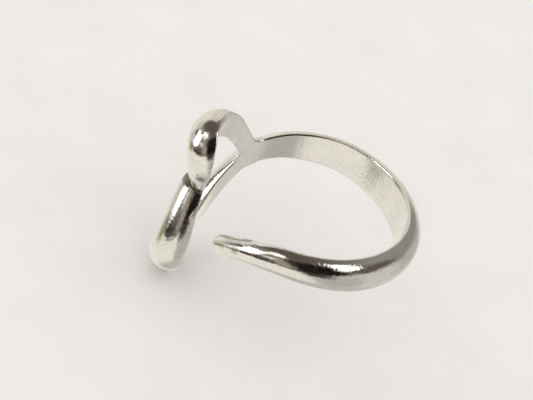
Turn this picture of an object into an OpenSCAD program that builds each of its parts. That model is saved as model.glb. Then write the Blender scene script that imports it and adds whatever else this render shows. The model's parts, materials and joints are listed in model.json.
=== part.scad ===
// Open finger ring. A tapering band of half-round section runs three quarters of the way round
// the finger. One end is a free, blunt tip. The other end parts into two lobes that close into an
// open heart across the front of the finger, with a crease where the lobes meet at the cleft.
//
// Frame: the finger hole's axis is Z and its middle is the origin. The heart faces -Y, and the
// free tip is on the +X side. Angles run round the hole from -Y toward +X. Millimetres.

/* [Finger hole] */
// Inside diameter, which sets the ring size
bore_dia = 16.5; // [14:0.1:20]

/* [Band] */
// Angle from the front to the end of the free tip, degrees
tip_angle = 50.5; // [48:0.5:58]
// Angle from the front, back round to where the band parts into the lobes, degrees
point_angle = 38; // [34:0.5:42]
// Width of the band at the free tip
tip_width = 2.1; // [1.6:0.05:2.4]
// Width of the band at its quarter turn beside the tip
side_width = 2.54; // [2:0.05:3]
// Width of the band at the back of the finger
back_width = 3.7; // [2.8:0.05:4.2]
// Width of the band where it parts into the lobes
point_width = 2.4; // [2:0.05:2.8]
// Height of the band's dome at the free tip
tip_height = 1; // [0.8:0.05:1.4]
// Height of the dome at the quarter turn
side_height = 1.4; // [1:0.05:1.8]
// Height of the dome at the back
back_height = 1.7; // [1.2:0.05:2.1]
// Height of the dome where the band parts
point_height = 1.3; // [1.1:0.05:1.5]
// How far the free tip leans down from the band's plane
tip_drop = 2.6; // [0:0.05:2.8]
// Length of the rounding at the free tip
tip_round = 0.75; // [0.5:0.05:1]
// How much higher the tip's dome stands on its upper side, for each millimetre across
tip_lean = 0.09; // [0:0.01:0.15]

/* [Heart] */
// Height of the crease where the lobes meet at the cleft
crease_z = -1.85; // [-2.1:0.05:-1.6]
// Height of the heart's point, where the lobes run into the band
point_z = -1.85; // [-2.1:0.05:-1.6]
// Angle of the upper lobe's turn, degrees
upper_turn = 5; // [2:0.5:8]
// Height of the upper lobe's middle line at its turn
upper_top = 3.2; // [2.8:0.05:3.7]
// Angle of the lower lobe's turn, degrees
lower_turn = 10; // [7:0.5:13]
// Depth of the lower lobe's middle line at its turn
lower_bottom = 8.9; // [8.3:0.05:9.4]
// Widest part of the upper lobe
upper_width = 3.2; // [2.8:0.05:3.6]
// Widest part of the lower lobe
lower_width = 3.6; // [3:0.05:3.8]
// Tallest part of the upper lobe
upper_height = 2.2; // [1.9:0.05:2.6]
// Tallest part of the lower lobe
lower_height = 2.6; // [2.2:0.05:3]
// How far the upper lobe's flat back stands off the finger at its turn
upper_lift = 0.8; // [0.3:0.05:1]
// How far the lower lobe's flat back stands off the finger at its turn
lower_lift = 0.35; // [0.2:0.05:0.8]

/* [Hidden] */
silver = [0.86, 0.85, 0.83];
bore_r = bore_dia / 2;
// the middle lines are drawn flat, on this radius, then bent round the finger
mid_r = bore_r + 0.75;
mm_deg = 180 / (PI * mid_r);
// depth of stock inside the hole wall, which the bore then cuts to a true cylinder
stock = 0.5;

// --- smooth curve through [x, y] knots, with no overshoot between them
function gap(t, i) = (t[i + 1][1] - t[i][1]) / (t[i + 1][0] - t[i][0]);
function lean(t, i) =
  i == 0 ? gap(t, 0)
  : i == len(t) - 1 ? gap(t, i - 1)
  : gap(t, i - 1) * gap(t, i) <= 0 ? 0
  : 2 * gap(t, i - 1) * gap(t, i) / (gap(t, i - 1) + gap(t, i));
function span(t, x, i = 0) = (i >= len(t) - 2 || x < t[i + 1][0]) ? i : span(t, x, i + 1);
function through(t, x) =
  let (i = span(t, x), h = t[i + 1][0] - t[i][0], s = min(1, (x - t[i][0]) / h))
  t[i][1] * (2 * s ^ 3 - 3 * s ^ 2 + 1)
  + h * lean(t, i) * (s ^ 3 - 2 * s ^ 2 + s)
  + t[i + 1][1] * (3 * s ^ 2 - 2 * s ^ 3)
  + h * lean(t, i + 1) * (s ^ 3 - s ^ 2);

// --- a point at an angle round the finger, a height along it and a distance off the hole's wall
function bent(a, z, h) = [(bore_r + h) * sin(a), -(bore_r + h) * cos(a), z];

// --- triangles that skin a list of closed outlines, drawn to one point past each end
function skin_faces(n, m) = concat(
  [for (i = [0 : n - 2], j = [0 : m - 1])
    [i * m + j, i * m + (j + 1) % m, (i + 1) * m + (j + 1) % m]],
  [for (i = [0 : n - 2], j = [0 : m - 1])
    [i * m + j, (i + 1) * m + (j + 1) % m, (i + 1) * m + j]],
  [for (j = [0 : m - 1]) [n * m, (j + 1) % m, j]],
  [for (j = [0 : m - 1]) [n * m + 1, (n - 1) * m + j, (n - 1) * m + (j + 1) % m]]
);
module skin(outlines, first, last) {
  polyhedron(
    points = concat([for (o = outlines, p = o) p], [first, last]),
    faces = skin_faces(len(outlines), len(outlines[0])),
    convexity = 8
  );
}

// --- the finger hole, cut as one true cylinder whose seam is turned clear of the stock it cuts
module bore(seam) {
  rotate([0, 0, seam])
    cylinder(h = 40, r = bore_r, center = true, $fn = 240);
}

// --- band: half-round outlines at steps round the finger
band_end = 360 - point_angle;
band_w = [[tip_angle, tip_width / 2], [90, side_width / 2],
          [180, back_width / 2], [band_end, point_width / 2]];
band_t = [[tip_angle, tip_height], [90, side_height], [180, back_height], [band_end, point_height]];
band_z = [[tip_angle, -tip_drop], [60, -0.67 * tip_drop], [75, -0.265 * tip_drop],
          [92, -0.02 * tip_drop], [105, 0], [255, 0], [290, 0.3 * point_z], [band_end, point_z]];
tip_deg = tip_round * mm_deg;
// the sections near the tip turn to stand square to the band as it drops
tip_turn = 31;
band_turn = [[tip_angle, tip_turn], [62, 0.87 * tip_turn], [75, 0.56 * tip_turn],
             [92, 0.13 * tip_turn], [105, 0], [band_end, 0]];
band_lean = [[tip_angle, tip_lean], [75, tip_lean], [90, 0], [band_end, 0]];
// close steps through the tip's rounding, then even ones
band_steps = concat(
  [for (q = [14 : 15.2 : 90]) tip_angle + tip_deg * (1 - cos(q))],
  [for (i = [0 : 86]) let (a = tip_angle + tip_deg) a + (band_end + 2 - a) * i / 86]
);
function tip_share(a) =
  let (c = max(0, 1 - (a - tip_angle) / tip_deg)) (1 - c ^ 3) ^ 0.4;
band_arc = [for (k = [0 : 12]) 7 + 166 * k / 12];
function band_outline(a) =
  let (
    s = tip_share(a),
    w = through(band_w, a) * s,
    t = through(band_t, a) * s ^ 0.7,
    z = through(band_z, a),
    turn = through(band_turn, a),
    rise = through(band_lean, a) * w * cos(turn),
    up = w * cos(turn) ^ 2,
    back = w * cos(turn) * sin(turn) * mm_deg
  )
  concat(
    [bent(a - back, z + up, rise - stock)],
    [for (f = band_arc) bent(a - back * cos(f), z + up * cos(f), rise * cos(f) + t * sin(f))],
    [bent(a + back, z - up, -rise - stock)]
  );

// the plane where the band parts into the lobes, as a block on its far side
module parting(size) {
  rotate([0, 0, -point_angle])
    translate([size[0] < 0 ? size[0] : 0, -14, -12])
      cube([abs(size[0]), size[1], 20]);
}

module band() {
  color(silver)
    difference() {
      skin(
        [for (a = band_steps) band_outline(a)],
        bent(tip_angle - 0.3, -tip_drop, 0.15),
        bent(band_end + 4, point_z, 0.4)
      );
      bore(-85);
      parting([4, 8]);
    }
}

// --- lobes: round-shouldered outlines with a flat back, set along a bent middle line
function arc4(p, t) =
  (1 - t) ^ 3 * p[0] + 3 * (1 - t) ^ 2 * t * p[1] + 3 * (1 - t) * t ^ 2 * p[2] + t ^ 3 * p[3];
function arc4_way(p, t) =
  3 * ((1 - t) ^ 2 * (p[1] - p[0]) + 2 * (1 - t) * t * (p[2] - p[1]) + t ^ 2 * (p[3] - p[2]));
// q runs 0 to 1 over the two arcs of a middle line
function arc_of(l, q) = q < 0.5 ? l[0] : l[1];
function part_of(q) = q < 0.5 ? 2 * q : 2 * q - 1;

// middle lines as [mm round the finger, height]: from the crease out to the turn, then to the point
function mm(a, z) = [a / mm_deg, z];
upper_line = [
  [mm(-1, crease_z - 0.9), mm(6, crease_z + 0.35), mm(upper_turn + 16.5, upper_top - 0.95),
   mm(upper_turn, upper_top)],
  [mm(upper_turn, upper_top), mm(upper_turn - 16.5, upper_top + 0.95),
   mm(10.5 - point_angle, 0.75), mm(-point_angle - 6, point_z + 0.1)]
];
lower_line = [
  [mm(-1, crease_z + 0.7), mm(7, crease_z - 0.4), mm(lower_turn + 17.5, 1.1 - lower_bottom),
   mm(lower_turn, -lower_bottom)],
  [mm(lower_turn, -lower_bottom), mm(lower_turn - 18, -1.1 - lower_bottom),
   mm(19 - point_angle, -4.1), mm(-point_angle - 6, point_z - 0.1)]
];
// half widths on the heart's outer side, then the narrower ones on its inner side
upper_w = [[0, 1.1], [0.12, 0.41 * upper_width], [0.35, upper_width / 2], [0.5, 0.45 * upper_width],
           [0.7, 0.35 * upper_width], [1, 0.85]];
lower_w = [[0, 1.1], [0.12, 0.38 * lower_width], [0.4, lower_width / 2], [0.7, 0.36 * lower_width],
           [1, 0.85]];
upper_in = [[0, 1.1], [0.14, 0.38 * upper_width], [0.42, 0.34 * upper_width],
            [0.7, 0.34 * upper_width], [1, 0.85]];
lower_in = [[0, 1.1], [0.14, 0.34 * lower_width], [0.45, 0.32 * lower_width],
            [0.7, 0.34 * lower_width], [1, 0.85]];
upper_t = [[0, 1.3], [0.12, 0.66 * upper_height], [0.38, upper_height], [0.45, upper_height],
           [0.65, 0.76 * upper_height], [0.9, 1.35], [1, 1.3]];
lower_t = [[0, 1.6], [0.12, 0.78 * lower_height], [0.42, lower_height], [0.65, 0.66 * lower_height],
           [0.9, 1.35], [1, 1.3]];
// how far the flat back stands off the finger, with stock for the bore to cut near the point
function back_of(lift) =
  [[0, 0.2], [0.25, 0.2 + 0.25 * lift], [0.5, lift], [0.75, 0], [0.9, -stock], [1, -stock]];
// how far the sides tuck in under the dome, as a share of its half height
upper_tuck = [[0, 0.1], [0.4, 0.15], [1, 0.02]];
lower_tuck = [[0, 0.1], [0.42, 0.4], [0.7, 0.1], [1, 0.02]];

lobe_steps = 46;
lobe_arc = 15;
function lobe_outline(l, side, ws, ins, ts, backs, tucks, q) =
  let (
    p = arc_of(l, q),
    c = arc4(p, part_of(q)),
    way = arc4_way(p, part_of(q)),
    across = [-way[1], way[0]] / norm(way),
    t = through(ts, q),
    b = through(backs, q),
    k = through(tucks, q),
    f0 = asin(k)
  )
  [for (i = [0 : lobe_arc])
    let (
      f = -f0 + (180 + 2 * f0) * i / lobe_arc,
      s = through(side * cos(f) > 0 ? ins : ws, q) * cos(f),
      at = c + across * s
    )
    bent(at[0] * mm_deg, at[1], b + (t - min(b, 0)) * (sin(f) + k) / (1 + k))
  ];
function past(l, q, d) =
  let (p = arc_of(l, q), way = arc4_way(p, part_of(q)), at = arc4(p, part_of(q)) + d * way / norm(way))
  bent(at[0] * mm_deg, at[1], 0.4);
module lobe(l, side, ws, ins, ts, backs, tucks) {
  skin(
    [for (i = [0 : lobe_steps])
      lobe_outline(l, side, ws, ins, ts, backs, tucks, i / lobe_steps)],
    past(l, 0, -0.5),
    past(l, 1, 0.5)
  );
}
// everything below the crease, or above it
module crease_side(up) {
  translate([-30, -30, crease_z + (up ? 0 : -30)])
    cube([60, 60, 30]);
}

module upper_lobe() {
  color(silver)
    difference() {
      lobe(upper_line, 1, upper_w, upper_in, upper_t, back_of(upper_lift), upper_tuck);
      bore(90);
      parting([-12, 14]);
      crease_side(false);
    }
}

module lower_lobe() {
  color(silver)
    difference() {
      lobe(lower_line, -1, lower_w, lower_in, lower_t, back_of(lower_lift), lower_tuck);
      bore(90);
      parting([-12, 14]);
      crease_side(true);
    }
}

band();
upper_lobe();
lower_lobe();
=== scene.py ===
import json
import math

import bmesh
import bpy
import numpy as np
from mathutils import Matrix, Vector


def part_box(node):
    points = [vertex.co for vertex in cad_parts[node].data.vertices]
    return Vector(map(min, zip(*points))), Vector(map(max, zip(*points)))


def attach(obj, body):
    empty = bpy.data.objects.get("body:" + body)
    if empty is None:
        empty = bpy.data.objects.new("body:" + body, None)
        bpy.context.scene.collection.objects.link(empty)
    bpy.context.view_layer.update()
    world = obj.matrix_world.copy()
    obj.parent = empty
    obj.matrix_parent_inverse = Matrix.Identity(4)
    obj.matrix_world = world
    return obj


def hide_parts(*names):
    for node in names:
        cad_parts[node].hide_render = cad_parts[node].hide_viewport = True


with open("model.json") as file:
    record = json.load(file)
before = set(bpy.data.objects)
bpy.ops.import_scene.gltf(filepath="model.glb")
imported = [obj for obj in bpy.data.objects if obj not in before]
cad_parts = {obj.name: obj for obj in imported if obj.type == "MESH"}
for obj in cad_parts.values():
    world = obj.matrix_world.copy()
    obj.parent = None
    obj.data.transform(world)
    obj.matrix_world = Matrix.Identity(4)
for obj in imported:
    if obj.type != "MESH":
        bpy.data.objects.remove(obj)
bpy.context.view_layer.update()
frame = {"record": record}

import openvdb as vdb
from mathutils import Matrix, Vector

# An open heart finger ring in polished silver. Its skin is worked out as a volume in millimetres:
# the band and the two lobes of the heart are swept, melted together where the casting runs on
# without a joint, and cut by the finger hole. The skin is then parted into the three named pieces.
# Angles run round the finger hole from the heart (-Y) toward the free tip (+X), in degrees.

MM = 0.001

# ---- the ring's sizes, in millimetres and degrees, as in the CAD model
BORE_R = frame["record"]["mounts"][0]["dims"]["r_mm"]
TIP_ANGLE = 50.5
POINT_ANGLE = 38
BAND_END = 360 - POINT_ANGLE
TIP_W, SIDE_W, BACK_W, POINT_W = 2.1, 2.54, 3.7, 2.4
TIP_H, SIDE_H, BACK_H, POINT_H = 1.0, 1.4, 1.7, 1.3
TIP_DROP = 2.6
TIP_ROUND = 0.75
# the sections near the tip turn to stand square to the band as it drops, in degrees
TIP_TURN = 31
# how much higher the tip's dome stands on its upper side, for each millimetre across
TIP_LEAN = 0.09
CREASE_Z = -1.85
POINT_Z = -1.85
UPPER_TURN, UPPER_TOP = 5, 3.2
LOWER_TURN, LOWER_BOTTOM = 10, 8.9
UPPER_W, LOWER_W = 3.2, 3.6
UPPER_H, LOWER_H = 2.2, 2.6
UPPER_LIFT, LOWER_LIFT = 0.8, 0.35
# the lobes' middle lines are drawn flat, on this radius, then bent round the finger
MID_R = BORE_R + 0.75
MM_DEG = 180 / (math.pi * MID_R)
# stock inside the hole's wall, which the hole then cuts away
STOCK = 0.5

# ---- the skin's resolution and the radii that polishing leaves, in millimetres
VOXEL = 0.065
# how far from the metal the distances are kept, and the grid's spare cells on each side
REACH, MARGIN = 1.2, 12
POINT_BLEND = 0.9
CREASE_BLEND = 0.22
RIM_BLEND = 0.2
# the lobes melt together on the point's side of this X, and keep their crease on the other
MELT_X = -1.7


def through(knots, x):
    """A smooth curve through [x, y] knots, with no overshoot between them."""
    kx, ky = np.array(knots, float).T
    gaps = np.diff(ky) / np.diff(kx)
    lean = np.zeros(len(kx))
    lean[0], lean[-1] = gaps[0], gaps[-1]
    for i in range(1, len(kx) - 1):
        a, b = gaps[i - 1], gaps[i]
        lean[i] = 0 if a * b <= 0 else 2 * a * b / (a + b)
    i = np.clip(np.searchsorted(kx, x, side="right") - 1, 0, len(kx) - 2)
    h = kx[i + 1] - kx[i]
    s = np.clip((x - kx[i]) / h, 0, 1)
    return (
        ky[i] * (2 * s**3 - 3 * s**2 + 1)
        + h * lean[i] * (s**3 - 2 * s**2 + s)
        + ky[i + 1] * (3 * s**2 - 2 * s**3)
        + h * lean[i + 1] * (s**3 - s**2)
    )


def bent(angle, z, height):
    """Points at an angle round the finger, a height along it and a distance off the hole's wall."""
    a, z, r = np.broadcast_arrays(np.radians(angle), z, BORE_R + height)
    return np.stack([r * np.sin(a), -r * np.cos(a), z], -1)


# ---- sweeps: each returns its outlines as an array of [step, point, xyz]
def band_outlines():
    tip_deg = TIP_ROUND * MM_DEG
    a = np.concatenate([
        TIP_ANGLE + tip_deg * (1 - np.cos(np.radians(np.linspace(4, 86, 16)))),
        np.linspace(TIP_ANGLE + tip_deg, BAND_END + 5, 260),
    ])
    c = np.clip(1 - (a - TIP_ANGLE) / tip_deg, 0, 1)
    share = (1 - c**3) ** 0.4
    # past the point the band dies away between the two lobes
    fade = np.clip((BAND_END + 3 - a) / 11, 0, 1) ** 0.5
    w = through([[TIP_ANGLE, TIP_W / 2], [90, SIDE_W / 2], [180, BACK_W / 2],
                 [BAND_END, POINT_W / 2]], a) * share * fade
    t = through([[TIP_ANGLE, TIP_H], [90, SIDE_H], [180, BACK_H], [BAND_END, POINT_H]], a)
    t = t * share**0.7 * fade
    z = through([[TIP_ANGLE, -TIP_DROP], [60, -0.67 * TIP_DROP], [75, -0.265 * TIP_DROP],
                 [92, -0.02 * TIP_DROP], [105, 0], [255, 0], [290, 0.3 * POINT_Z],
                 [BAND_END, POINT_Z]], a)
    turn = np.radians(through([[TIP_ANGLE, TIP_TURN], [62, 0.87 * TIP_TURN], [75, 0.56 * TIP_TURN],
                               [92, 0.13 * TIP_TURN], [105, 0], [BAND_END, 0]], a))
    lean = through([[TIP_ANGLE, TIP_LEAN], [75, TIP_LEAN], [90, 0], [BAND_END, 0]], a)
    f = np.radians(np.linspace(0, 180, 48))
    across = np.concatenate([[1], np.cos(f), [-1]]) * (w * np.cos(turn))[:, None]
    back = across * np.sin(turn)[:, None] * MM_DEG
    up = across * np.cos(turn)[:, None]
    off = np.concatenate([[-STOCK], np.zeros(len(f)), [-STOCK]])
    dome = np.concatenate([[0], np.sin(f), [0]])
    high = off + t[:, None] * dome + lean[:, None] * across
    return bent(a[:, None] - back, z[:, None] + up, high)


def lobe_outlines(line, side, outer, inner, height, lift, tuck):
    """A round-shouldered section with a flat back, along a middle line of two four-point arcs."""
    q = np.linspace(0, 1, 190)
    first = (q < 0.5)[:, None]
    t = np.where(q < 0.5, 2 * q, 2 * q - 1)[:, None]
    p = [np.where(first, line[0][i], line[1][i]) for i in range(4)]
    u = 1 - t
    middle = u**3 * p[0] + 3 * u**2 * t * p[1] + 3 * u * t**2 * p[2] + t**3 * p[3]
    way = u**2 * (p[1] - p[0]) + 2 * u * t * (p[2] - p[1]) + t**2 * (p[3] - p[2])
    across = np.stack([-way[:, 1], way[:, 0]], -1) / np.linalg.norm(way, axis=1)[:, None]
    k = through(tuck, q)[:, None]
    t = through(height, q)[:, None]
    back = through([[0, 0.2], [0.25, 0.25 * lift + 0.2], [0.5, lift], [0.75, 0],
                    [0.9, -STOCK], [1, -STOCK]], q)[:, None]
    tucked = np.arcsin(k)
    f = -tucked + (math.pi + 2 * tucked) * np.linspace(0, 1, 56)
    half = np.where(side * np.cos(f) > 0, through(inner, q)[:, None], through(outer, q)[:, None])
    s = half * np.cos(f)
    h = back + (t - np.minimum(back, 0)) * (np.sin(f) + k) / (1 + k)
    at = middle[:, None] + across[:, None] * s[..., None]
    return bent(at[..., 0] * MM_DEG, at[..., 1], h)


def on_line(angle, z):
    return np.array([angle / MM_DEG, z])


UPPER_LINE = [
    [on_line(-1, CREASE_Z - 0.9), on_line(6, CREASE_Z + 0.35),
     on_line(UPPER_TURN + 16.5, UPPER_TOP - 0.95), on_line(UPPER_TURN, UPPER_TOP)],
    [on_line(UPPER_TURN, UPPER_TOP), on_line(UPPER_TURN - 16.5, UPPER_TOP + 0.95),
     on_line(10.5 - POINT_ANGLE, 0.75), on_line(-POINT_ANGLE - 6, POINT_Z + 0.1)],
]
LOWER_LINE = [
    [on_line(-1, CREASE_Z + 0.7), on_line(7, CREASE_Z - 0.4),
     on_line(LOWER_TURN + 17.5, 1.1 - LOWER_BOTTOM), on_line(LOWER_TURN, -LOWER_BOTTOM)],
    [on_line(LOWER_TURN, -LOWER_BOTTOM), on_line(LOWER_TURN - 18, -1.1 - LOWER_BOTTOM),
     on_line(19 - POINT_ANGLE, -4.1), on_line(-POINT_ANGLE - 6, POINT_Z - 0.1)],
]


def upper_outlines():
    return lobe_outlines(
        UPPER_LINE, 1,
        outer=[[0, 1.1], [0.12, 0.41 * UPPER_W], [0.35, UPPER_W / 2], [0.5, 0.45 * UPPER_W],
               [0.7, 0.35 * UPPER_W], [1, 0.85]],
        inner=[[0, 1.1], [0.14, 0.38 * UPPER_W], [0.42, 0.34 * UPPER_W], [0.7, 0.34 * UPPER_W],
               [1, 0.85]],
        height=[[0, 1.3], [0.12, 0.66 * UPPER_H], [0.38, UPPER_H], [0.45, UPPER_H],
                [0.65, 0.76 * UPPER_H], [0.9, 1.35], [1, 1.3]],
        lift=UPPER_LIFT,
        tuck=[[0, 0.1], [0.4, 0.15], [1, 0.02]],
    )


def lower_outlines():
    return lobe_outlines(
        LOWER_LINE, -1,
        outer=[[0, 1.1], [0.12, 0.38 * LOWER_W], [0.4, LOWER_W / 2], [0.7, 0.36 * LOWER_W],
               [1, 0.85]],
        inner=[[0, 1.1], [0.14, 0.34 * LOWER_W], [0.45, 0.32 * LOWER_W], [0.7, 0.34 * LOWER_W],
               [1, 0.85]],
        height=[[0, 1.6], [0.12, 0.78 * LOWER_H], [0.42, LOWER_H], [0.65, 0.66 * LOWER_H],
                [0.9, 1.35], [1, 1.3]],
        lift=LOWER_LIFT,
        tuck=[[0, 0.1], [0.42, 0.4], [0.7, 0.1], [1, 0.02]],
    )


# ---- the volume: signed distances on a grid, negative in the metal
def swept_points_and_faces(outlines):
    """Points, quads and triangles of a closed skin round a list of outlines."""
    n, m = outlines.shape[:2]
    points = np.concatenate([outlines.reshape(-1, 3), [outlines[0].mean(0), outlines[-1].mean(0)]])
    i, j = np.meshgrid(np.arange(n - 1) * m, np.arange(m), indexing="ij")
    k = (j + 1) % m
    quads = np.stack([i + j, i + k, i + m + k, i + m + j], -1).reshape(-1, 4)
    j = np.arange(m)
    k = (j + 1) % m
    last = (n - 1) * m
    ends = np.concatenate([
        np.stack([np.full(m, n * m), k, j], -1),
        np.stack([np.full(m, n * m + 1), last + j, last + k], -1),
    ])
    return points, quads, ends


def distances(outlines, low, shape):
    points, quads, ends = swept_points_and_faces(outlines)
    grid = vdb.FloatGrid.createLevelSetFromPolygons(
        points.astype(np.float32), triangles=ends.astype(np.uint32),
        quads=quads.astype(np.uint32),
        transform=vdb.createLinearTransform(voxelSize=VOXEL), halfWidth=REACH / VOXEL,
    )
    out = np.empty(shape, np.float32)
    grid.copyToArray(out, ijk=tuple(int(v) for v in low))
    return out


def melt(a, b, radius):
    """The union of two distance fields, with a fillet."""
    h = np.maximum(radius - np.abs(a - b), 0) / radius
    return np.minimum(a, b) - h * h * radius / 4


def cut(a, b, radius):
    """What is inside both distance fields, with a rounded edge."""
    return -melt(-a, -b, radius)


def ring_skin():
    """Points (mm) and quads of the whole ring's polished skin."""
    sweeps = [band_outlines(), upper_outlines(), lower_outlines()]
    everything = np.concatenate([s.reshape(-1, 3) for s in sweeps])
    low = np.floor(everything.min(0) / VOXEL).astype(int) - MARGIN
    shape = tuple(np.ceil(everything.max(0) / VOXEL).astype(int) + MARGIN - low)
    band, upper, lower = (distances(s, low, shape) for s in sweeps)
    x, y, z = ((np.arange(n) + o) * VOXEL for n, o in zip(shape, low))
    x, y, z = x[:, None, None], y[None, :, None], z[None, None, :]
    above = cut(upper, CREASE_Z - z + 0 * x, CREASE_BLEND)
    below = cut(lower, z - CREASE_Z + 0 * x, CREASE_BLEND)
    heart = np.where(x > MELT_X, np.minimum(above, below), melt(upper, lower, POINT_BLEND))
    metal = melt(band, heart, POINT_BLEND)
    metal = cut(metal, BORE_R - np.sqrt(x**2 + y**2) + 0 * z, RIM_BLEND)
    grid = vdb.FloatGrid(1.0)
    grid.transform = vdb.createLinearTransform(voxelSize=VOXEL)
    grid.copyFromArray(metal.astype(np.float32), ijk=tuple(int(v) for v in low))
    points, quads = grid.convertToQuads(isovalue=0.0)
    return smoothed(points.astype(float), quads.astype(np.int64)), quads


def smoothed(points, quads, rounds=6):
    """Evens out the grid's steps without shrinking the shape."""
    edges = np.concatenate([quads[:, [i, (i + 1) % 4]] for i in range(4)])
    edges = np.concatenate([edges, edges[:, ::-1]])
    n = len(points)
    count = np.bincount(edges[:, 0], minlength=n)[:, None]
    for pull in [0.5, -0.52] * rounds:
        mean = np.stack(
            [np.bincount(edges[:, 0], points[edges[:, 1], i], minlength=n) for i in range(3)], -1)
        points = points + pull * (mean / count - points)
    return points


# ---- the three pieces
# an angle in the open gap between the lobes and the tip, in degrees
GAP_ANGLE = 40


def angle_round(p):
    """A point's angle round the finger, in degrees, from -180 to 180."""
    return math.degrees(math.atan2(p.x, -p.y))


def part_of(p):
    """Which piece a point of the skin belongs to."""
    if -POINT_ANGLE < angle_round(p) < GAP_ANGLE:
        return "upper_lobe" if p.z > CREASE_Z * MM else "lower_lobe"
    return "band"


def whole_mesh():
    """The ring's skin in metres, cut along the planes where its pieces meet, still in one mesh."""
    points, quads = ring_skin()
    mesh = bpy.data.meshes.new("ring_skin")
    mesh.from_pydata((points * MM).tolist(), [], quads.tolist())
    bm = bmesh.new()
    bm.from_mesh(mesh)
    bmesh.ops.recalc_face_normals(bm, faces=bm.faces)
    slant = math.radians(POINT_ANGLE)
    near_point = [f for f in bm.faces if f.calc_center_median().x < MELT_X * MM
                  and f.calc_center_median().y < 0]
    bisect(bm, near_point, (0, 0, 0), (math.cos(slant), math.sin(-slant), 0))
    lobes = [f for f in bm.faces if part_of(f.calc_center_median()) != "band"]
    bisect(bm, lobes, (0, 0, CREASE_Z * MM), (0, 0, 1))
    return bm, mesh


def bisect(bm, faces, point, normal):
    geom = set(faces)
    for f in faces:
        geom.update(f.verts)
        geom.update(f.edges)
    bmesh.ops.bisect_plane(bm, geom=list(geom), plane_co=point, plane_no=normal)


def make_piece(name, source, normals):
    """One part of the skin as its own closed piece, shaded as the whole skin is."""
    bm = source.copy()
    keep = bm.verts.layers.float_vector.new("skin_normal")
    for v, n in zip(bm.verts, normals):
        v[keep] = n
    bmesh.ops.delete(
        bm, geom=[f for f in bm.faces if part_of(f.calc_center_median()) != name], context="FACES")
    skin_faces = len(bm.faces)
    rims = [e for e in bm.edges if e.is_boundary]
    ends = bmesh.ops.edgeloop_fill(bm, edges=rims)["faces"]
    bmesh.ops.triangulate(bm, faces=ends)
    mesh = bpy.data.meshes.new(name)
    bm.verts.index_update()
    shade = [v[keep].copy() for v in bm.verts]
    bm.to_mesh(mesh)
    bm.free()
    loops = []
    for face in mesh.polygons:
        face.use_smooth = True
        flat = face.index >= skin_faces
        loops += [face.normal if flat else shade[i] for i in face.vertices]
    mesh.normals_split_custom_set([tuple(n) for n in loops])
    piece = bpy.data.objects.new(f"ring_{name}", mesh)
    bpy.context.scene.collection.objects.link(piece)
    return piece


def make_ring(material):
    whole, mesh = whole_mesh()
    whole.normal_update()
    normals = [v.normal.copy() for v in whole.verts]
    for name in ("band", "upper_lobe", "lower_lobe"):
        piece = make_piece(name, whole, normals)
        piece.data.materials.append(material)
        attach(piece, "root")
        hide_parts(name)
    whole.free()
    bpy.data.meshes.remove(mesh)


# ---- shader nodes
class Graph:
    """A node tree, with a short way to add a node and set or link its inputs."""

    def __init__(self, tree):
        self.tree = tree

    def add(self, kind, settings=None, **inputs):
        node = self.tree.nodes.new(kind)
        for key, value in (settings or {}).items():
            setattr(node, key, value)
        for key, value in inputs.items():
            self.put(node, key.replace("_", " "), value)
        return node

    def put(self, node, key, value):
        socket = node.inputs[int(key) if key.strip().isdigit() else key]
        if isinstance(value, bpy.types.NodeSocket):
            self.tree.links.new(value, socket)
        else:
            socket.default_value = value

    def sum(self, operation, *values, clamp=False):
        node = self.add("ShaderNodeMath", {"operation": operation, "use_clamp": clamp})
        for i, value in enumerate(values):
            self.put(node, str(i), value)
        return node.outputs[0]

    def vector(self, operation, *values):
        node = self.add("ShaderNodeVectorMath", {"operation": operation})
        for i, value in enumerate(values):
            self.put(node, str(i), value)
        return node.outputs["Value" if operation in ("DOT_PRODUCT", "LENGTH") else "Vector"]

    def ramp(self, value, low, high, to_low=0.0, to_high=1.0):
        node = self.add("ShaderNodeMapRange", {"interpolation_type": "SMOOTHSTEP"}, Value=value)
        for key, v in (("From Min", low), ("From Max", high), ("To Min", to_low), ("To Max", to_high)):
            self.put(node, key, v)
        return node.outputs["Result"]

    def mix(self, factor, a, b):
        node = self.add("ShaderNodeMix", {"data_type": "RGBA"})
        self.put(node, "0", factor)
        self.put(node, "6", a)
        self.put(node, "7", b)
        return node.outputs[2]

    def noise(self, vector, scale, detail=2.0, roughness=0.5):
        node = self.add("ShaderNodeTexNoise", Vector=vector, Scale=scale, Detail=detail,
                        Roughness=roughness)
        return node.outputs["Fac"]


def seen(r, g, b):
    """A colour as it is seen on a screen, as the light that makes it."""
    return (r**2.2, g**2.2, b**2.2, 1)


# ---- materials
def new_material(name):
    material = bpy.data.materials.new(name)
    material.use_nodes = True
    material.node_tree.nodes.clear()
    graph = Graph(material.node_tree)
    out = graph.add("ShaderNodeOutputMaterial")
    shader = graph.add("ShaderNodeBsdfPrincipled")
    graph.put(out, "Surface", shader.outputs[0])
    return material, graph, shader


# spots that the photo shows: place in millimetres, radius, colour, strength
# a small dark spot and a dark patch on the upper lobe, then a grey patch and an olive tint near the
# tip;
# whether the two dark ones lie on the metal is left open, and the grey patch is a guess that is partly
# tarnish and partly painted shade, standing in for a darker reflection there
SPOTS_AND_PAINTED_SHADE = [
    ((3.42, -9.12, 0.67), 0.14, (0.10, 0.09, 0.08), 0.85),
    ((3.29, -8.79, 0.23), 0.5, (0.17, 0.16, 0.15), 0.8),
    ((8.50, -3.85, -0.80), 0.55, (0.33, 0.30, 0.27), 0.75),
    ((7.94, -4.88, -1.60), 0.3, (0.62, 0.60, 0.30), 0.6),
]
# the middle of the crease, in millimetres
CLEFT = (2.0, -9.0, CREASE_Z)
# the silver's colours; the tarnish colour also paints shade into the crease
CLEAN, SHADE_AND_TARNISH = (0.86, 0.84, 0.80, 1), (0.26, 0.23, 0.18, 1)
SCRATCHED, PITTED = (0.55, 0.54, 0.52, 1), (0.25, 0.23, 0.20, 1)
# how far the bump of each kind of wear goes, in millimetres
WAVE_HIGH, GRAIN_HIGH, PIT_DEEP = 0.010, 0.016, 0.004
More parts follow.
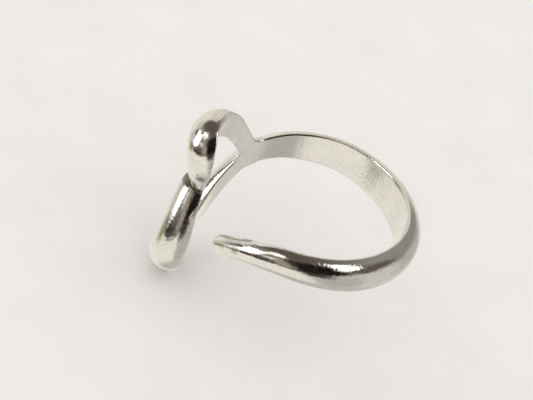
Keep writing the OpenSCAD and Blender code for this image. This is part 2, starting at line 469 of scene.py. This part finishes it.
# directions of the polishing scratches: how fast their noise changes round the finger, along it
# and outward, in turns a millimetre, with how deep they are in millimetres
SCRATCHES = [((0.4, 4.5, 1), 0.0010), ((2.0, 2.9, 1), 0.0007), ((-2.4, 1.7, 2), 0.0007)]


def silver():
    material, graph, shader = new_material("polished_silver")
    place = graph.add("ShaderNodeTexCoord").outputs["Object"]
    mm = graph.vector("MULTIPLY", place, (1 / MM,) * 3)
    parts = graph.add("ShaderNodeSeparateXYZ", Vector=mm).outputs
    round_ = graph.sum("MULTIPLY", graph.sum("ARCTAN2", parts["X"], graph.sum(
        "MULTIPLY", parts["Y"], -1.0)), BORE_R)
    outward = graph.sum("SQRT", graph.sum("ADD", graph.sum("POWER", parts["X"], 2.0),
                                          graph.sum("POWER", parts["Y"], 2.0)))
    wound = graph.add("ShaderNodeCombineXYZ", X=round_, Y=parts["Z"], Z=outward).outputs[0]

    # the hand-polished surface: slow waves, then a fine grain
    waves = graph.sum("MULTIPLY", graph.noise(mm, 1.1, 1.0), WAVE_HIGH)
    grain = graph.sum("MULTIPLY", graph.noise(mm, 4.0, 3.0, 0.6), GRAIN_HIGH)
    height = graph.sum("ADD", waves, grain)

    # scratches: thin lines in stretched noise, worn away in places
    worn = graph.ramp(graph.noise(mm, 0.7, 2.0), 0.38, 0.62)
    scratched = 0.0
    for speed, depth in SCRATCHES:
        stretched = graph.vector("MULTIPLY", wound, speed)
        line = graph.sum("ABSOLUTE", graph.sum("SUBTRACT", graph.noise(stretched, 1.0, 2.0), 0.5))
        line = graph.ramp(line, 0.004, 0.03, 1, 0)
        line = graph.sum("MULTIPLY", line, worn)
        height = graph.sum("SUBTRACT", height, graph.sum("MULTIPLY", line, depth))
        scratched = graph.sum("MAXIMUM", line, scratched)

    # small pits and dents here and there
    cells = graph.add("ShaderNodeTexVoronoi", Vector=mm, Scale=2.2)
    few = graph.ramp(graph.add(
        "ShaderNodeSeparateColor", Color=cells.outputs["Color"]).outputs[0], 0.72, 0.78)
    pit = graph.sum("MULTIPLY", graph.ramp(cells.outputs["Distance"], 0.03, 0.16, 1, 0), few)
    height = graph.sum("SUBTRACT", height, graph.sum("MULTIPLY", pit, PIT_DEEP))

    # tarnish and painted shade: a dark crease that is partly tarnish, partly painted shade; thin
    # tarnish blotches elsewhere; the spots
    off = graph.sum("ABSOLUTE", graph.sum("SUBTRACT", parts["Z"], CREASE_Z))
    ragged = graph.noise(mm, 3.0, 3.0)
    crease = graph.ramp(graph.sum("ADD", off, graph.sum("MULTIPLY", ragged, 0.35)), 0.2, 0.55, 1, 0)
    near = graph.ramp(graph.vector("LENGTH", graph.vector("SUBTRACT", mm, CLEFT)), 2.2, 3.4, 1, 0)
    crease = graph.sum("MULTIPLY", crease, near)
    blotch = graph.ramp(graph.noise(mm, 1.9, 4.0, 0.65), 0.55, 0.75, 0, 0.16)
    tarnish_and_shade = graph.sum("MAXIMUM", graph.sum("MULTIPLY", crease, 0.95), blotch)
    colour = graph.mix(tarnish_and_shade, CLEAN, SHADE_AND_TARNISH)
    colour = graph.mix(graph.sum("MULTIPLY", scratched, 0.25), colour, SCRATCHED)
    colour = graph.mix(graph.sum("MULTIPLY", pit, 0.35), colour, PITTED)
    spots_tarnish_and_shade = tarnish_and_shade
    # the spots darken the colour; the grey one near the tip is partly painted shade
    for middle, radius, tint, strength in SPOTS_AND_PAINTED_SHADE:
        away = graph.vector("LENGTH", graph.vector("SUBTRACT", mm, middle))
        away = graph.sum("ADD", away, graph.sum("MULTIPLY", ragged, 0.5 * radius))
        here = graph.sum("MULTIPLY", graph.ramp(away, 0.5 * radius, 1.4 * radius, 1, 0), strength)
        colour = graph.mix(here, colour, tint + (1,))
        spots_tarnish_and_shade = graph.sum("MAXIMUM", spots_tarnish_and_shade, here)

    rough = graph.ramp(graph.noise(mm, 2.6, 4.0, 0.6), 0.35, 0.7, 0.03, 0.09)
    rough = graph.sum("MULTIPLY_ADD", scratched, 0.10, rough)
    rough = graph.sum("MULTIPLY_ADD", spots_tarnish_and_shade, 0.25, rough)
    bump = graph.add("ShaderNodeBump", Height=graph.sum("MULTIPLY", height, MM), Distance=1.0)
    shader.inputs["Metallic"].default_value = 1.0
    graph.put(shader, "Base Color", colour)
    graph.put(shader, "Roughness", rough)
    graph.put(shader, "Normal", bump.outputs["Normal"])
    return material


# the floor's sheet: its two tones, and how high its fibres stand in millimetres
PAPER_DARK, PAPER_LIGHT = (0.885, 0.870, 0.855, 1), (0.915, 0.900, 0.885, 1)
FIBRE_HIGH = 0.03


def paper():
    material, graph, shader = new_material("pale_floor")
    place = graph.add("ShaderNodeTexCoord").outputs["Object"]
    mm = graph.vector("MULTIPLY", place, (1 / MM,) * 3)
    # soft clouds in the sheet's tone, and the fibres' fine grain
    clouds = graph.ramp(graph.noise(mm, 0.12, 3.0), 0.3, 0.7)
    fibres = graph.noise(mm, 3.5, 4.0, 0.6)
    colour = graph.mix(clouds, PAPER_DARK, PAPER_LIGHT)
    height = graph.sum("MULTIPLY", fibres, FIBRE_HIGH * MM)
    bump = graph.add("ShaderNodeBump", Height=height, Distance=1.0)
    graph.put(shader, "Base Color", colour)
    graph.put(shader, "Roughness", graph.ramp(fibres, 0.3, 0.7, 0.85, 0.95))
    graph.put(shader, "Normal", bump.outputs["Normal"])
    return material


# ---- stage
FLOOR_R = 500 * MM
# a gap that keeps the floor clear of the lowest point
FLOOR_GAP = 0.1 * MM


def make_floor():
    bm = bmesh.new()
    bmesh.ops.create_circle(bm, cap_ends=True, segments=96, radius=FLOOR_R)
    mesh = bpy.data.meshes.new("floor")
    bm.to_mesh(mesh)
    bm.free()
    floor = bpy.data.objects.new("floor", mesh)
    floor.location.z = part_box("lower_lobe")[0][2] - FLOOR_GAP
    mesh.materials.append(paper())
    bpy.context.scene.collection.objects.link(floor)
    # the studio's own light stands in for the floor in the metal's reflections
    floor.visible_glossy = False


# ---- camera: beside the free tip, looking down, rolled so that the finger hole leans back
CAMERA_FAR = 160 * MM
CAMERA_HIGH = math.radians(35.8)
CAMERA_ROLL = math.radians(23.7)
CAMERA_LENS = 130.3
# where the hole's middle sits right of and below the picture's middle, in millimetres there
AIM_RIGHT, AIM_DOWN = 3.39, 0.28


def make_camera():
    e, roll = CAMERA_HIGH, CAMERA_ROLL
    back = Vector((math.cos(e), 0, math.sin(e)))
    level, rise = Vector((0, 1, 0)), Vector((-math.sin(e), 0, math.cos(e)))
    right = level * math.cos(roll) + rise * math.sin(roll)
    up = rise * math.cos(roll) - level * math.sin(roll)
    place = back * CAMERA_FAR
    aim = right * (-AIM_RIGHT * MM) + up * (AIM_DOWN * MM)
    back = (place - aim).normalized()
    right = up.cross(back).normalized()
    up = back.cross(right)
    data = bpy.data.cameras.new("camera")
    data.lens = CAMERA_LENS
    data.clip_start = 10 * MM
    camera = bpy.data.objects.new("camera", data)
    turn = Matrix((right, up, back)).transposed()
    camera.matrix_world = Matrix.Translation(place) @ turn.to_4x4()
    bpy.context.scene.collection.objects.link(camera)
    bpy.context.scene.camera = camera


# ---- the studio round the ring, as the polished metal reflects it
# it is level on a floor that leans toward the heart; azimuth 0 is beside the free tip
STUDIO_UP = Vector((0.03, -0.33, 0.94)).normalized()
STUDIO_SIDE = Vector((0.97, 0.23, 0.05)).normalized()
STUDIO_LEFT = STUDIO_UP.cross(STUDIO_SIDE)
# the ring's own shadow straight below it, the lit floor, the room's walls and its ceiling
SHADE_SEEN = seen(0.76, 0.75, 0.73)
FLOOR_SEEN = seen(0.945, 0.93, 0.895)
ROOM_SEEN = seen(0.41, 0.38, 0.35)
CEILING_SEEN = seen(0.37, 0.33, 0.29)
# the elevations between which each gives way to the next, in degrees
SHADE_EDGE, FLOOR_EDGE, CEILING_EDGE = (-72, -50), (1, 4), (58, 64)
# how far the edges waver, in degrees
WAVER = 8.0
# patches of light and dark, placed to give the reflections that the photo shows:
# azimuth, elevation, lean (azimuth for each degree up), half width, half height and soft edge in
# degrees, colour, light; each lies over the ones before it
STUDIO = [
    (88, -25, 0, 52, 36, 12, (0.82, 0.81, 0.78), 1),
    (120, -12, 0, 20, 26, 12, (0.72, 0.71, 0.70), 1),
    (32, -34, 0, 26, 32, 12, (0.72, 0.71, 0.68), 1),
    (-106, -3, 0.8, 14, 7, 4, (0.60, 0.60, 0.46), 1),
    (-60, 10, 0, 30, 7, 3, (0.26, 0.24, 0.21), 1),
    (-16, 35, -0.2, 12, 24, 3, (0.62, 0.58, 0.54), 1),
    (122, 22, 0, 30, 26, 10, (0.57, 0.55, 0.54), 1),
    (80, 16, 0, 20, 12, 6, (0.38, 0.34, 0.32), 1),
    (-151, 16, 0, 29, 38, 2, (0.92, 0.91, 0.87), 1),
    (168, 20, 0, 20, 38, 3, (0.86, 0.84, 0.80), 1),
    (-135, 42, 0, 14, 14, 3, (0.82, 0.80, 0.76), 1),
    (-118, 67, 0, 22, 7, 4, (0.52, 0.49, 0.45), 1),
    (-34, 73, 0, 42, 9, 3, (1.0, 0.99, 0.96), 1.5),
    (-60, 64, 0, 13, 4, 3, (0.62, 0.59, 0.55), 1),
    (30, 33, 0.1, 26, 27, 3, (0.10, 0.09, 0.08), 1),
    (18, -1, 0, 14, 10, 4, (0.26, 0.25, 0.23), 1),
    (-114, 15, 0.3, 11, 16, 3, (0.79, 0.78, 0.75), 1),
    (-87, 18, 1.2, 13, 7, 2, (0.98, 0.98, 0.96), 1),
    (-36, 41, 0, 10, 6, 2, (0.95, 0.94, 0.92), 1),
    (-76, 37, 0.3, 17, 12, 2, (1.0, 1.0, 0.98), 3),
    (-83, 55, 0, 24, 7, 2, (1.0, 1.0, 0.98), 3),
    (75, 42, 0.9, 9, 12, 2, (1.0, 1.0, 0.98), 3),
]
# what the camera sees past the floor, and what lights the floor
PLAIN = seen(0.985, 0.975, 0.965)


def make_world():
    world = bpy.data.worlds.new("studio")
    world.use_nodes = True
    bpy.context.scene.world = world
    world.node_tree.nodes.clear()
    graph = Graph(world.node_tree)
    way = graph.add("ShaderNodeTexCoord").outputs["Generated"]
    up, side, left = (
        graph.vector("DOT_PRODUCT", way, tuple(axis))
        for axis in (STUDIO_UP, STUDIO_SIDE, STUDIO_LEFT)
    )
    high = graph.sum("DEGREES", graph.sum("ARCSINE", up))
    round_ = graph.sum("DEGREES", graph.sum("ARCTAN2", left, side))
    waver = graph.sum("MULTIPLY", graph.sum("SUBTRACT", graph.noise(way, 3.0), 0.5), WAVER)
    high = graph.sum("ADD", high, waver)
    colour = graph.mix(graph.ramp(high, *SHADE_EDGE), SHADE_SEEN, FLOOR_SEEN)
    colour = graph.mix(graph.ramp(high, *FLOOR_EDGE), colour, ROOM_SEEN)
    colour = graph.mix(graph.ramp(high, *CEILING_EDGE), colour, CEILING_SEEN)
    for azimuth, elevation, lean, half_w, half_h, soft, tint, light in STUDIO:
        rise = graph.sum("SUBTRACT", high, elevation)
        off_h = graph.sum("ABSOLUTE", rise)
        middle = graph.sum("MULTIPLY_ADD", rise, lean, azimuth)
        off_w = graph.sum("ABSOLUTE", graph.sum("SUBTRACT", round_, middle))
        inside = graph.sum(
            "MULTIPLY",
            graph.ramp(off_w, half_w - soft, half_w + soft, 1, 0),
            graph.ramp(off_h, half_h - soft, half_h + soft, 1, 0),
        )
        patch = tuple(c * light for c in seen(*tint)[:3]) + (1,)
        colour = graph.mix(inside, colour, patch)
    glossy = graph.add("ShaderNodeLightPath").outputs["Is Glossy Ray"]
    colour = graph.mix(glossy, PLAIN, colour)
    background = graph.add("ShaderNodeBackground", Color=colour)
    out = graph.add("ShaderNodeOutputWorld")
    graph.put(out, "Surface", background.outputs[0])


bpy.context.scene.view_settings.view_transform = "Standard"
make_camera()
make_world()
make_floor()
make_ring(silver())
